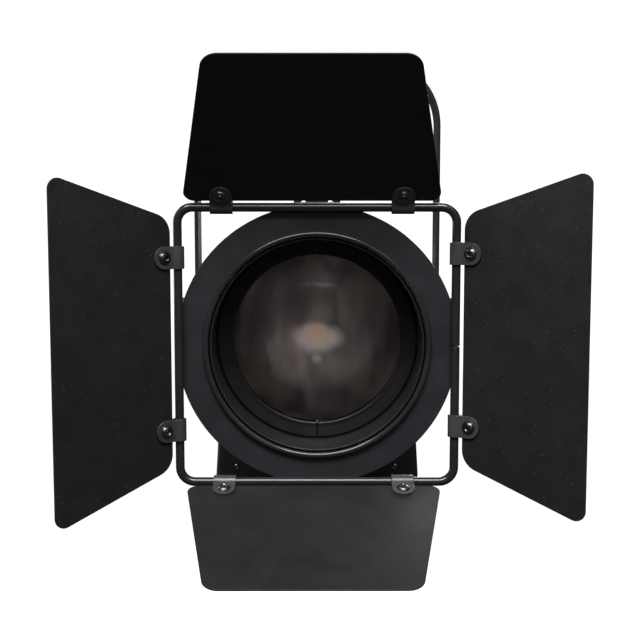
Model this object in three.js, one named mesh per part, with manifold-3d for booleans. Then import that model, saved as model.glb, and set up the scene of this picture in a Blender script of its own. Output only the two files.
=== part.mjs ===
// An LED ellipsoidal spotlight with four-leaf barn doors, hung from a yoke.
// Millimetres, +Z up. The origin is the top of the yoke, where the hanging bolt goes through.
// The optical axis runs along Y and the light leaves towards -Y. Everything that tilts is
// modelled around the tilt axis, which crosses the optical axis at the fixture group's origin.

import * as THREE from "three";
import { mergeVertices } from "three/addons/utils/BufferGeometryUtils.js";
import Module from "manifold-3d";

const wasm = await Module();
wasm.setup();

// ---------------------------------------------------------------- driving dimensions

const GAP = 0.3; // clearance between pieces that touch

const YOKE_WIDTH = 190; // outside, across the arms
const YOKE_HEIGHT = 205; // top face down to the tilt axis
const YOKE_BAR = 28; // width of the flat bar
const YOKE_THICK = 3;
const YOKE_BEND = 52; // outer bend radius
const HANG_HOLE = 6.5; // radius, for an M12 bolt
const ARM_HOLE = 5.3;

const BARREL_R = 72.3; // lens barrel, outer radius
const BARREL_WALL = 1.6;
const CASTING_R = 76.5; // shutter barrel, outer radius
const CASTING_WALL = 3.5;
const BOSS_R = 17;
const BOSS_FACE = 89.4; // distance of a pivot boss's face from the optical axis
const STUD_R = 4;

const FRAME_Y = -150; // plane of the barn door rod
const FRAME_HALF = 92.5; // optical axis to the rod's centre line
const FRAME_BEND = 10;
const ROD_R = 3;
const DISC_R = 94.5;
const DISC_THICK = 1.5;
const MOUTH_R = 72.9;
const LEAF_THICK = 1.2;
const LEAF_START = 6.1; // rod's centre line to the leaf's hinged edge
const STRAP_WIDTH = 15;
const STRAP_THICK = 1.2;
const RIVET_AT = 11.5; // rod's centre line to the rivet

const LENS_Y = -108.3; // rim of the front lens
const LENS_R = 60;
const GATE_R = 30;

const HOUSE_FRONT = 34.5;
const HOUSE_REAR = 136;
const HOUSE_BOTTOM = -146;
const HOUSE_WALL = 2.5;
const HOUSE_FLARE = THREE.MathUtils.degToRad(3);
const COVER_REAR = 148;
const FAN_Z = -6;

// the leaves: how each stands at rest, and its outline
const TAPERED = { hinge: 171.2, far: 129.5, length: 122.7, clips: 120, hingeRound: 7, farRound: 11 };
const FLARED = { hinge: 167.4, far: 225.7, length: 94.5, clips: 116, hingeRound: 14, farRound: 7 };
const LEAVES = [
  { name: "top", side: 0, open: 42, shift: -3.2, outline: TAPERED },
  { name: "right", side: 90, open: 34.6, shift: -4, outline: FLARED },
  { name: "bottom", side: 180, open: 72.9, shift: 2.3, outline: TAPERED },
  { name: "left", side: -90, open: 40.2, shift: 1.4, outline: FLARED },
];

const FINE = 36; // sides of a large circle
const COARSE = 16; // sides of a small one

// ---------------------------------------------------------------- materials

const finish = (color, roughness, metalness) =>
  () => new THREE.MeshStandardMaterial({ color, roughness, metalness });
const satinBlack = finish(0x1c1d20, 0.55, 0.3);
const insideBlack = finish(0x0d0d0e, 0.85, 0.1);
const plasticBlack = finish(0x141415, 0.6, 0);
const bareSteel = finish(0x9a9a9c, 0.35, 1);
const aluminium = finish(0xb4b6b8, 0.4, 1);
const brightMirror = finish(0xe4e6e8, 0.08, 1);
const clearGlass = finish(0x8d857c, 0.05, 0);
const fibre = finish(0x6b4a32, 0.9, 0);
const phosphor = finish(0xf2c14e, 0.6, 0);

// ---------------------------------------------------------------- helpers

/** A closed geometry as a solid that can be cut and joined. */
function solid(geometry) {
  const bare = geometry.clone();
  bare.deleteAttribute("normal");
  bare.deleteAttribute("uv");
  const merged = mergeVertices(bare, 1e-4);
  const corners = merged.index.array;
  const triangles = [];
  for (let i = 0; i < corners.length; i += 3) {
    const [a, b, c] = corners.slice(i, i + 3);
    if (a !== b && b !== c && c !== a) triangles.push(a, b, c);
  }
  return new wasm.Manifold(new wasm.Mesh({
    numProp: 3,
    vertProperties: Float32Array.from(merged.attributes.position.array),
    triVerts: Uint32Array.from(triangles),
  }));
}

function geometryOf(body) {
  const mesh = body.getMesh();
  const geometry = new THREE.BufferGeometry();
  geometry.setAttribute("position", new THREE.BufferAttribute(Float32Array.from(mesh.vertProperties), 3));
  geometry.setIndex(new THREE.BufferAttribute(Uint32Array.from(mesh.triVerts), 1));
  geometry.computeVertexNormals();
  return geometry;
}

/** Adds a named piece to a group. */
function piece(group, name, body, material) {
  const mesh = new THREE.Mesh(geometryOf(body), material());
  mesh.name = name;
  group.add(mesh);
  return mesh;
}

const placed = (body, x, y, z) => body.translate([x, y, z]);

function outline(points) {
  return new THREE.Shape(points.map(([x, y]) => new THREE.Vector2(x, y)));
}

/** Points along an arc, from one angle to another. */
function arc(x, y, radius, from, to, steps) {
  const points = [];
  for (let i = 0; i <= steps; i++) {
    const angle = from + (i / steps) * (to - from);
    points.push([x + radius * Math.cos(angle), y + radius * Math.sin(angle)]);
  }
  return points;
}

/** A polygon whose corners [x, y, radius] are rounded with arcs, listed anticlockwise. */
function rounded(corners, steps = 3) {
  const points = corners.map(([x, y, radius], i) => {
    const corner = new THREE.Vector2(x, y);
    const before = new THREE.Vector2(...corners.at(i - 1)).sub(corner).normalize();
    const after = new THREE.Vector2(...corners[(i + 1) % corners.length]).sub(corner).normalize();
    const half = Math.acos(before.dot(after)) / 2;
    const centre = before.clone().add(after).normalize().multiplyScalar(radius / Math.sin(half)).add(corner);
    const start = Math.atan2(before.x, -before.y);
    const end = Math.atan2(-after.x, after.y);
    const turn = (end - start + 2 * Math.PI) % (2 * Math.PI);
    return arc(centre.x, centre.y, radius, start, start + turn, steps);
  });
  return outline(points.flat());
}

function rectangle(width, height, round, x = 0, y = 0, steps = 3) {
  const [w, h] = [width / 2, height / 2];
  const corners = [[x - w, y - h, round], [x + w, y - h, round], [x + w, y + h, round], [x - w, y + h, round]];
  return rounded(corners, steps);
}

const circle = (radius, sides, x = 0, y = 0) => outline(arc(x, y, radius, 0, 2 * Math.PI, sides).slice(1));

/** Extrudes a shape; the basis says where its x, its y and its depth point. */
function extruded(shape, depth, basis, bevel = 0) {
  const geometry = new THREE.ExtrudeGeometry(shape, {
    depth: depth - 2 * bevel,
    bevelEnabled: bevel > 0,
    bevelThickness: bevel,
    bevelSize: bevel,
    bevelOffset: -bevel,
    bevelSegments: 1,
  });
  geometry.translate(0, 0, bevel);
  geometry.applyMatrix4(basis);
  return solid(geometry);
}

const [X, Y, Z] = [0, 1, 2].map((axis) => new THREE.Vector3().setComponent(axis, 1));
const X_WAY = new THREE.Matrix4().makeBasis(Y, Z, X);
const Y_WAY = new THREE.Matrix4().makeBasis(X, Z, Y.clone().negate());
const Z_WAY = new THREE.Matrix4();

/** A shape drawn in (y, z), from x0 to x1. */
const alongX = (shape, x0, x1, bevel = 0) => placed(extruded(shape, x1 - x0, X_WAY, bevel), x0, 0, 0);
/** A shape drawn in (x, z), from y0 to y1. */
const alongY = (shape, y0, y1, bevel = 0) => placed(extruded(shape, y1 - y0, Y_WAY, bevel), 0, y1, 0);
/** A shape drawn in (x, y), from z0 to z1. */
const alongZ = (shape, z0, z1, bevel = 0) => placed(extruded(shape, z1 - z0, Z_WAY, bevel), 0, 0, z0);

const box = (x0, x1, y0, y1, z0, z1) =>
  placed(solid(new THREE.BoxGeometry(x1 - x0, y1 - y0, z1 - z0)), (x0 + x1) / 2, (y0 + y1) / 2, (z0 + z1) / 2);

/** A profile of [radius, y] turned about the Y axis. It closes on itself or ends on the axis. */
function turned(profile, sides = FINE) {
  const points = profile.map(([r, y]) => new THREE.Vector2(r, y));
  const onAxis = points[0].x === 0 && points.at(-1).x === 0;
  if (THREE.ShapeUtils.area(points) < 0) points.reverse();
  if (!onAxis) points.push(points[0].clone());
  return solid(new THREE.LatheGeometry(points, sides));
}

const rod = (radius, y0, y1, sides = COARSE) => turned([[0, y0], [radius, y0], [radius, y1], [0, y1]], sides);
const tube = (inner, outer, y0, y1, sides = FINE) =>
  turned([[inner, y0], [outer, y0], [outer, y1], [inner, y1]], sides);

/** Turns a piece made along Y so that its +Y end points along the side given, +X or -X. */
const towards = (sign, body) => body.rotate([0, 0, -90 * sign]);

/** A path through listed stations, for sweeping a section without wasting steps on the straights. */
class Stations extends THREE.Curve {
  constructor(points) {
    super();
    this.points = points;
  }
  getPointAt(u, target = new THREE.Vector3()) {
    return target.copy(this.points[Math.round(u * (this.points.length - 1))]);
  }
  getTangentAt(u, target = new THREE.Vector3()) {
    const i = Math.round(u * (this.points.length - 1));
    const next = this.points[Math.min(i + 1, this.points.length - 1)];
    const last = this.points[Math.max(i - 1, 0)];
    return target.subVectors(next, last).normalize();
  }
}

function swept(points, radius, sides) {
  return solid(new THREE.ExtrudeGeometry(circle(radius, sides), {
    steps: points.length - 1,
    extrudePath: new Stations(points),
  }));
}

// ---------------------------------------------------------------- the yoke

function makeYoke() {
  const half = YOKE_WIDTH / 2;
  const end = -YOKE_HEIGHT - YOKE_BAR / 2;
  const inner = YOKE_BEND - YOKE_THICK;
  const bends = (radius) => [
    ...arc(half - YOKE_BEND, -YOKE_BEND, radius, 0, Math.PI / 2, 9),
    ...arc(YOKE_BEND - half, -YOKE_BEND, radius, Math.PI / 2, Math.PI, 9),
  ];
  const section = outline([
    [half, end], ...bends(YOKE_BEND), [-half, end],
    [YOKE_THICK - half, end], ...bends(inner).reverse(), [half - YOKE_THICK, end],
  ]);
  const bar = alongY(section, -YOKE_BAR / 2, YOKE_BAR / 2);

  const armEnd = box(-half - 1, half + 1, -YOKE_BAR, YOKE_BAR, end - 1, -YOKE_HEIGHT)
    .subtract(placed(towards(1, rod(YOKE_BAR / 2, -half - 2, half + 2, 32)), 0, 0, -YOKE_HEIGHT));
  const pivotHoles = placed(towards(1, rod(ARM_HOLE, -half - 2, half + 2)), 0, 0, -YOKE_HEIGHT);
  const hangHole = alongZ(circle(HANG_HOLE, 24), -10, 10);
  let yoke = bar.subtract(armEnd).subtract(pivotHoles).subtract(hangHole);
  for (const x of [-27, 27]) yoke = yoke.subtract(alongZ(circle(4.3, 16, x), -10, 10));
  return yoke;
}

const WASHER = { inner: 4.6, outer: 15, thick: 2 };

function pivotWasher() {
  const face = BOSS_FACE + GAP;
  return tube(WASHER.inner, WASHER.outer, face, face + WASHER.thick, 16);
}

// ---------------------------------------------------------------- tilt hardware

const STUD_START = 78;
const KNOB = { start: YOKE_WIDTH / 2 + GAP, length: 16, radius: 17.5, lobe: 1.6, lobes: 6, bore: 12.5 };

/** A star knob's outline. */
function starOutline(radius, lobe, lobes) {
  const points = [];
  for (let i = 0; i < lobes * 4; i++) {
    const angle = (i / (lobes * 4)) * 2 * Math.PI;
    const r = radius + lobe * Math.cos(lobes * angle);
    points.push([r * Math.cos(angle), r * Math.sin(angle)]);
  }
  return outline(points);
}

function pivotStud() {
  const end = KNOB.start + KNOB.bore - 1;
  return turned([[0, STUD_START], [STUD_R, STUD_START], [STUD_R, end - 1], [STUD_R - 1, end], [0, end]], COARSE);
}

/** A star knob on the X axis, its hub at start and its closed face outwards. */
function starKnob({ start, length, radius, lobe, lobes, bore }, boreRadius) {
  const grip = alongX(starOutline(radius, lobe, lobes), start + 3, start + length, 1.5);
  const hub = towards(1, rod(radius * 0.62, start, start + 4, 16));
  return grip.add(hub).subtract(towards(1, rod(boreRadius, start - 1, start + bore)));
}

// ---------------------------------------------------------------- barrels and accessory holder

const BARREL_FRONT = -147.2;
const BARREL_BACK = -50;
const BARREL_FLANGE = { front: -129.4, back: -127.4, radius: 78 };
const FOCUS = { y: -90, stud: 3, forward: 20, back: 10, slot: 3.4 };

function lensBarrel() {
  const inner = BARREL_R - BARREL_WALL;
  const { front, back, radius } = BARREL_FLANGE;
  const profile = [
    [inner, BARREL_FRONT + 0.8], [inner + 0.4, BARREL_FRONT], [BARREL_R - 0.4, BARREL_FRONT],
    [BARREL_R, BARREL_FRONT + 0.8], [BARREL_R, front], [radius, front], [radius, back],
    [BARREL_R, back], [BARREL_R, BARREL_BACK], [inner, BARREL_BACK],
  ];
  const from = FOCUS.y - FOCUS.forward - FOCUS.slot;
  const to = FOCUS.y + FOCUS.back + FOCUS.slot;
  const slot = alongX(rectangle(to - from, 2 * FOCUS.slot, FOCUS.slot - 0.01, (from + to) / 2, 0, 5), 60, 80);
  return turned(profile).subtract(slot);
}

const WINDOW = { front: -38, back: -22, half: 37 };

function shutterBarrel() {
  const inner = CASTING_R - CASTING_WALL;
  const collar = -62;
  const profile = [
    [BARREL_R + GAP, collar], [CASTING_R, collar], [CASTING_R, HOUSE_FRONT - GAP], [inner - 8, HOUSE_FRONT - GAP],
    [inner - 8, 30], [inner, 30], [inner, BARREL_BACK + 1], [BARREL_R + GAP, BARREL_BACK + 1],
  ];
  const core = rod(inner, -40, 25, FINE);
  let body = turned(profile);
  for (const sign of [-1, 1]) {
    const boss = towards(sign, rod(BOSS_R, 70, BOSS_FACE, 24));
    body = body.add(boss.subtract(core)).subtract(towards(sign, rod(STUD_R + 0.4, STUD_START - 0.5, 95)));
  }
  const { front, back, half } = WINDOW;
  const across = box(-90, 90, front, back, -half, half);
  const upright = box(-half, half, front, back, -90, 90);
  return body.subtract(across).subtract(upright);
}

const HOLDER = { plateBack: -129.7, plateFront: -131.7, lipBack: -134, lipFront: -136, outer: 88, sides: 28 };
const FLANGE = { front: -133.7, back: -132, radius: 84 };

/** A U that is round below and open above. */
function channel(radius, top) {
  return outline([...arc(0, 0, radius, Math.PI, 2 * Math.PI, FINE / 2), [radius, top], [-radius, top]]);
}

const LATCH = { half: 15.5, pivotY: -124, pivotZ: 95, pin: 2, lug: 3.6, lugIn: 9, lugOut: 12, top: 100, foot: 81.8 };

/** The side of a latch lug, round about the pivot so that the latch's bridge can swing over it. */
function lugOutline() {
  const { pivotY, pivotZ, lug } = LATCH;
  const plate = HOLDER.plateFront;
  return outline([
    [plate, pivotZ - 9], [pivotY + 2.5, pivotZ - 9],
    ...arc(pivotY, pivotZ, lug, -0.6, Math.PI / 2, 6), [plate, pivotZ + lug],
  ]);
}

function accessoryHolder() {
  const { plateBack, plateFront, lipBack, lipFront, outer, sides } = HOLDER;
  const disc = alongY(circle(outer, FINE), plateFront, plateBack);
  const tray = alongY(channel(outer, sides), lipFront, plateBack);
  const pocket = alongY(channel(FLANGE.radius + 0.5, 120), lipBack, plateFront);
  const mouth = alongY(channel(FLANGE.radius - 2.5, 120), lipFront - 1, lipBack + 0.5);
  let body = disc.add(tray.subtract(pocket).subtract(mouth));
  body = body.add(box(-LATCH.lugOut, LATCH.lugOut, plateFront, plateBack, 70, LATCH.pivotZ - 6));
  for (const sign of [-1, 1]) {
    const [from, to] = [sign * LATCH.lugIn, sign * LATCH.lugOut].sort((a, b) => a - b);
    body = body.add(alongX(lugOutline(), from, to));
  }
  const pinHole = placed(towards(1, rod(LATCH.pin + 0.25, -20, 20)), 0, LATCH.pivotY, LATCH.pivotZ);
  const barrelHole = rod(BARREL_R + GAP, lipFront - 1, plateBack + 1, FINE);
  return body.subtract(pinHole).subtract(barrelHole);
}

/** The spring latch that keeps the barn doors from lifting out of the holder. */
function retainingLatch() {
  const { half, pivotY, pivotZ, pin, top, foot, lugOut } = LATCH;
  const face = box(-half, half, -136.2, -134.3, foot, top);
  const bridge = box(-half, half, -136.2, pivotY, pivotZ + 3.9, top);
  const ears = [-1, 1].map((sign) => {
    const [from, to] = [sign * (lugOut + GAP), sign * half].sort((a, b) => a - b);
    return box(from, to, pivotY - 3, pivotY + 3, pivotZ - 3, top);
  });
  const crossPin = placed(towards(1, rod(pin, -half, half)), 0, pivotY, pivotZ);
  return face.add(bridge).add(ears[0]).add(ears[1]).add(crossPin);
}

// ---------------------------------------------------------------- barn doors

/** Disc with a rolled lip at its mouth, and behind it the collar and flange that turn in the holder. */
function barnDoorDisc() {
  const front = FRAME_Y + ROD_R + GAP;
  const back = front + DISC_THICK;
  const bead = { r: MOUTH_R + 1.9, y: front - 1.6, radius: 1.9 };
  const lip = arc(bead.r, bead.y, bead.radius, 0, -Math.PI, 5);
  const collar = 78.4;
  return turned([
    [DISC_R, front], [bead.r + bead.radius + 1, front], ...lip, [MOUTH_R, back], [collar, back],
    [collar, FLANGE.back], [FLANGE.radius, FLANGE.back], [FLANGE.radius, FLANGE.front],
    [collar + 1.6, FLANGE.front], [collar + 1.6, back], [DISC_R, back],
  ], 44);
}

/** The square rod frame, bent from one length and butted at the middle of the right side. */
function rodFrame() {
  const middle = FRAME_HALF - FRAME_BEND;
  const points = [new THREE.Vector3(FRAME_HALF, FRAME_Y, GAP / 2)];
  for (let corner = 0; corner < 4; corner++) {
    const turn = (corner * Math.PI) / 2;
    const [cx, cz] = [Math.cos(turn + Math.PI / 4), Math.sin(turn + Math.PI / 4)].map((k) => k * middle * Math.SQRT2);
    for (const [x, z] of arc(cx, cz, FRAME_BEND, turn, turn + Math.PI / 2, 6)) {
      points.push(new THREE.Vector3(x, FRAME_Y, z));
    }
  }
  points.push(new THREE.Vector3(FRAME_HALF, FRAME_Y, -GAP / 2));
  return swept(points, ROD_R, 12);
}

/** A leaf lying in the rod's plane: the rod along X, the leaf reaching up in Z. */
function leaf({ hinge, far, length, hingeRound, farRound, clips }) {
  const shape = rounded([
    [-hinge / 2, LEAF_START, hingeRound], [hinge / 2, LEAF_START, hingeRound],
    [far / 2, length, farRound], [-far / 2, length, farRound],
  ], 4);
  let body = alongY(shape, -LEAF_THICK / 2, LEAF_THICK / 2);
  for (const x of [-clips / 2, clips / 2]) {
    body = body.subtract(alongY(circle(2.1, 8, x, RIVET_AT), -3, 3));
  }
  return body;
}

/** A steel strap wrapped round the rod, its two legs holding the leaf between them. */
function strapClip() {
  const wrap = ROD_R + GAP;
  const leg = LEAF_THICK / 2 + GAP;
  const back = leg + STRAP_THICK;
  const loop = (radius, reach) => {
    const start = Math.acos(reach / radius);
    return arc(0, 0, radius, start, -Math.PI - start, 7);
  };
  const end = RIVET_AT + STRAP_WIDTH / 2;
  const section = outline([
    [back, end], ...loop(wrap + STRAP_THICK, back), [-back, end],
    [-leg, end], ...loop(wrap, leg).reverse(), [leg, end],
  ]);
  const half = STRAP_WIDTH / 2;
  const plan = outline([[-half, -8], [half, -8], ...arc(0, RIVET_AT, half, 0, Math.PI, 7)]);
  return alongX(section, -half, half)
    .intersect(alongY(plan, -10, 10))
    .subtract(alongY(circle(2.1, 8, 0, RIVET_AT), -10, 10));
}

function rivet() {
  const face = LEAF_THICK / 2 + 2 * GAP + STRAP_THICK;
  const profile = [
    [0, -face - 0.5], [1.5, -face - 1.6], [2.8, -face - 1.6], [4, -face - 0.5], [4, -face],
    [1.8, -face], [1.8, face], [3.4, face], [2.4, face + 1.2], [0, face + 1.2],
  ];
  return placed(turned(profile, 10), 0, 0, RIVET_AT);
}

/** One leaf with its clips and rivets, turned about the rod to where it stands at rest. */
function hangLeaf(group, { name, side, open, shift, outline: shape }) {
  const edge = new THREE.Group();
  edge.position.y = FRAME_Y;
  edge.rotation.y = THREE.MathUtils.degToRad(side);
  const hinge = new THREE.Group();
  hinge.position.set(shift, 0, FRAME_HALF);
  hinge.rotation.x = THREE.MathUtils.degToRad(open);
  edge.add(hinge);
  group.add(edge);

  piece(hinge, `leaf_${name}`, leaf(shape), satinBlack);
  ["a", "b"].forEach((letter, i) => {
    const x = (i - 0.5) * shape.clips;
    piece(hinge, `clip_${name}_${letter}`, strapClip(), satinBlack).position.x = x;
    piece(hinge, `rivet_${name}_${letter}`, rivet(), bareSteel).position.x = x;
  });
}

// ---------------------------------------------------------------- lenses

/** A plano-convex lens facing -Y: rim radius, radius of curvature, rim thickness, steps. */
function lens(radius, curve, rim, front, steps, sides) {
  const profile = [];
  const reach = Math.asin(radius / curve);
  for (let i = 0; i <= steps; i++) {
    const angle = (i / steps) * reach;
    profile.push([curve * Math.sin(angle), front - curve * (Math.cos(angle) - Math.cos(reach))]);
  }
  return turned([...profile, [radius, front + rim], [0, front + rim]], sides);
}

const CARRIER_R = BARREL_R - BARREL_WALL - 0.5;
const REAR_LENS = { radius: 52, curve: 75, rim: 3.2, y: -79.7 };

/** The sliding tube that carries both lenses, with the stud that the focus knob screws onto. */
function lensCarriage() {
  const bore = 66.8;
  const profile = [
    [CARRIER_R, LENS_Y - 0.7], [CARRIER_R, -74], [REAR_LENS.radius - 2.5, -74], [REAR_LENS.radius - 2.5, -76.2],
    [REAR_LENS.radius + 0.4, -76.2], [REAR_LENS.radius + 0.4, -82], [bore, -82], [bore, -101.9],
    [LENS_R - 2.5, -101.9], [LENS_R - 2.5, -104], [LENS_R + 0.4, -104], [LENS_R + 0.4, LENS_Y - 0.7],
  ];
  const stud = placed(towards(1, rod(FOCUS.stud, 68, 85)), 0, FOCUS.y, 0);
  return turned(profile).add(stud);
}

/** The ring that keeps the front lens in, split at the bottom. */
function lensRing() {
  const back = LENS_Y - 1;
  const ring = turned([
    [LENS_R - 0.8, back - 1.6], [LENS_R - 0.2, back - 2.2], [LENS_R + 2, back - 2.2], [CARRIER_R - 1, back - 3.4],
    [CARRIER_R, back - 2.6], [CARRIER_R, back], [LENS_R - 0.8, back],
  ]);
  return ring.subtract(box(-0.6, 0.6, back - 6, back + 6, -90, 0));
}

const FOCUS_KNOB = { start: 74.5, length: 13.5, radius: 10.5, lobe: 0.7, lobes: 8, bore: 11 };

// ---------------------------------------------------------------- gate and framing shutters

const SHUTTER = { inner: GATE_R + 1.5, shoulder: 72, neck: 80, end: 106, half: 33, grip: 11, thick: 1.2 };

/** A framing shutter: a steel blade reaching up in Z, with a moulded grip at its outer end. */
function shutter() {
  const { inner, shoulder, neck, end, half, grip, thick } = SHUTTER;
  const blade = outline([
    [-half, inner], [half, inner], [half, shoulder - 14], [22, shoulder], [grip - 2, neck], [grip - 2, end - 2],
    [2 - grip, end - 2], [2 - grip, neck], [-22, shoulder], [-half, shoulder - 14],
  ]);
  const handle = rectangle(2 * grip, 15, 4, 0, end - 7.5);
  return alongY(blade, -thick / 2, thick / 2).add(alongY(handle, -2.5, 2.5, 0.8));
}

const gatePlate = () => tube(GATE_R, CASTING_R - CASTING_WALL - 0.4, -20, -18);

// ---------------------------------------------------------------- light engine

const LED_Y = 66.8; // front of the board's emitter
const REFLECTOR = { half: 62, radius: 45.6, centre: 22, mouth: 0, wall: 1.5 };

/** Half an ellipsoid with the emitter at one focus and the gate at the other. */
function reflector() {
  const { half, radius, centre, mouth, wall } = REFLECTOR;
  const back = LED_Y - 0.6;
  const bowl = (extra) => {
    const points = [];
    for (let i = 0; i <= 5; i++) {
      const y = mouth + (i / 5) * (back - mouth);
      points.push([radius * Math.sqrt(1 - ((y - centre) / half) ** 2) + extra, y]);
    }
    return points;
  };
  const inside = bowl(0);
  const outside = bowl(wall).reverse();
  const rim = inside.at(-1)[0];
  const flange = [[rim, back + 1.5], [rim + 6, back + 1.5], [rim + 6, back]];
  return turned([...inside, ...flange, ...outside], 28);
}

function ledModule() {
  const board = box(-32, 32, LED_Y + 1.3, LED_Y + 4.2, -32, 32);
  return board.add(rod(14, LED_Y, LED_Y + 2, 32));
}

const SINK = { half: 56, bottom: -62, top: 44, front: 71.4, base: 6, rear: 112, fins: 19, fin: 1.8 };

function heatSink() {
  const { half, bottom, top, front, base, rear, fins, fin } = SINK;
  let body = box(-half, half, front, front + base, bottom, top);
  for (let i = 0; i < fins; i++) {
    const x = -half + fin / 2 + (i / (fins - 1)) * (2 * half - fin);
    body = body.add(box(x - fin / 2, x + fin / 2, front + base - 1, rear, bottom, top));
  }
  return body;
}

const FAN = { half: 46, bore: 43, front: 114, rear: 124, hub: 17, blades: 7 };

function fanFrame() {
  const { half, bore, front, rear, hub } = FAN;
  const frame = alongY(rectangle(2 * half, 2 * half, 5), front, rear);
  let body = frame.subtract(rod(bore, front - 1, rear + 1, 28));
  for (const angle of [0, 90, 180, 270]) {
    body = body.add(box(-2, 2, rear - 2, rear, hub - 4, bore + 1).rotate([0, angle + 45, 0]));
  }
  return placed(body.add(rod(hub, rear - 2, rear, 20)), 0, 0, FAN_Z);
}

function fanRotor() {
  const { front, rear, hub, blades, bore } = FAN;
  let body = rod(hub, front + 0.5, rear - 2.4, 20);
  for (let i = 0; i < blades; i++) {
    const blade = box(-8, 8, -0.7, 0.7, hub - 1.5, bore - 1.8).rotate([0, 0, 22]);
    body = body.add(placed(blade, 0, (front + rear) / 2 - 1, 0).rotate([0, (i * 360) / blades, 0]));
  }
  return placed(body, 0, 0, FAN_Z);
}

// ---------------------------------------------------------------- lamp house

/** The house's section: round above, flaring downwards, offset inwards by an inset. */
function bell(inset) {
  const radius = CASTING_R - inset;
  const bottom = HOUSE_BOTTOM + inset;
  const foot = (radius - bottom * Math.sin(HOUSE_FLARE)) / Math.cos(HOUSE_FLARE);
  const round = 14 - inset;
  return outline([
    ...arc(0, 0, radius, -HOUSE_FLARE, Math.PI + HOUSE_FLARE, 22),
    ...arc(round - foot, bottom + round, round, Math.PI + HOUSE_FLARE, 1.5 * Math.PI, 4),
    ...arc(foot - round, bottom + round, round, 1.5 * Math.PI, 2 * Math.PI - HOUSE_FLARE, 4),
  ]);
}

const VENTS = { count: 7, first: 50, pitch: 11, half: 2, low: -58, high: 26 };

function lampHouse() {
  const shell = alongY(bell(0), HOUSE_FRONT, HOUSE_REAR);
  const room = alongY(bell(HOUSE_WALL), HOUSE_FRONT + HOUSE_WALL, HOUSE_REAR + 1);
  let body = shell.subtract(room).subtract(rod(56, HOUSE_FRONT - 1, HOUSE_FRONT + 5, FINE));
  for (let i = 0; i < VENTS.count; i++) {
    const y = VENTS.first + i * VENTS.pitch;
    body = body.subtract(box(-90, 90, y - VENTS.half, y + VENTS.half, VENTS.low, VENTS.high));
  }
  return body;
}

const PANEL = { display: -72, buttons: -95, sockets: -121 };
const SOCKET = { bore: 11.6, pitch: 44, width: 26, height: 31 };
const BUTTON = { radius: 4, pitch: 15 };
const socketPlaces = { power_inlet: -SOCKET.pitch, data_in_socket: 0, data_out_socket: SOCKET.pitch };

function rearCover() {
  const front = HOUSE_REAR + GAP;
  const edge = 3; // chamfer round the rear face
  const outside = alongY(bell(0), front, COVER_REAR - edge).add(alongY(bell(0), front, COVER_REAR, edge));
  let body = outside.subtract(alongY(bell(HOUSE_WALL + 0.5), front - 1, COVER_REAR - HOUSE_WALL));
  const grille = { slots: 9, pitch: 9, half: 2.4, reach: 42 };
  for (let i = 0; i < grille.slots; i++) {
    const z = (i - (grille.slots - 1) / 2) * grille.pitch;
    const w = Math.sqrt(grille.reach ** 2 - z ** 2);
    for (const sign of [-1, 1]) {
      const [from, to] = [2.5 * sign, (w + 0.5) * sign].sort((a, b) => a - b);
      const [low, high] = [FAN_Z + z - grille.half, FAN_Z + z + grille.half];
      body = body.subtract(box(from, to, COVER_REAR - 6, COVER_REAR + 2, low, high));
    }
  }
  body = body.subtract(box(-26, 26, COVER_REAR - 1.2, COVER_REAR + 2, PANEL.display - 12.5, PANEL.display + 12.5));
  const hole = (radius, sides, x, z) => placed(rod(radius, COVER_REAR - 8, COVER_REAR + 2, sides), x, 0, z);
  for (let i = 0; i < 4; i++) {
    body = body.subtract(hole(BUTTON.radius + 0.3, 14, (i - 1.5) * BUTTON.pitch, PANEL.buttons));
  }
  for (const x of Object.values(socketPlaces)) body = body.subtract(hole(SOCKET.bore, 18, x, PANEL.sockets));
  return body;
}

function menuButton(i) {
  const inside = COVER_REAR - HOUSE_WALL - GAP;
  const profile = [[0, inside - 3.5], [BUTTON.radius + 1.4, inside - 3.5], [BUTTON.radius + 1.4, inside - 1.6],
    [BUTTON.radius, inside - 1.6], [BUTTON.radius, COVER_REAR + 1.2], [BUTTON.radius - 0.7, COVER_REAR + 1.9],
    [0, COVER_REAR + 1.9]];
  return placed(turned(profile, 14), (i - 1.5) * BUTTON.pitch, 0, PANEL.buttons);
}

/** A panel socket with a square flange: its body passes through the cover, its mouth faces back. */
function panelSocket(x, mouth, depth) {
  const flange = alongY(rectangle(SOCKET.width, SOCKET.height, 3), COVER_REAR + GAP, COVER_REAR + 2.2);
  const body = flange.add(rod(SOCKET.bore - 0.4, COVER_REAR - 22, COVER_REAR + 2, 18));
  const well = tube(mouth * 0.42, mouth, COVER_REAR + 2.2 - depth, COVER_REAR + 4, 16);
  return placed(body.subtract(well), x, 0, PANEL.sockets);
}

function safetyEye() {
  const base = CASTING_R + GAP;
  const ring = solid(new THREE.TorusGeometry(9, 2.5, 6, 14)).rotate([90, 0, 0]);
  const stem = alongZ(circle(6, 12), base, base + 3).add(alongZ(circle(3, 8), base + 2, base + 6));
  return placed(stem.add(placed(ring, 0, 0, base + 13.5)), 0, 62, 0);
}

// ---------------------------------------------------------------- assembly

const spotlight = new THREE.Group();
const fixture = new THREE.Group();
fixture.position.z = -YOKE_HEIGHT;
const barnDoors = new THREE.Group();
fixture.add(barnDoors);
spotlight.add(fixture);

piece(spotlight, "yoke", makeYoke(), satinBlack);
for (const [name, sign] of [["left", -1], ["right", 1]]) {
  piece(fixture, `pivot_washer_${name}`, towards(sign, pivotWasher()), fibre);
  piece(fixture, `pivot_stud_${name}`, towards(sign, pivotStud()), bareSteel);
  const knob = starKnob(KNOB, STUD_R + 0.3);
  piece(fixture, `tilt_knob_${name}`, sign > 0 ? knob : knob.rotate([0, 0, 180]), plasticBlack);
}

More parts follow.
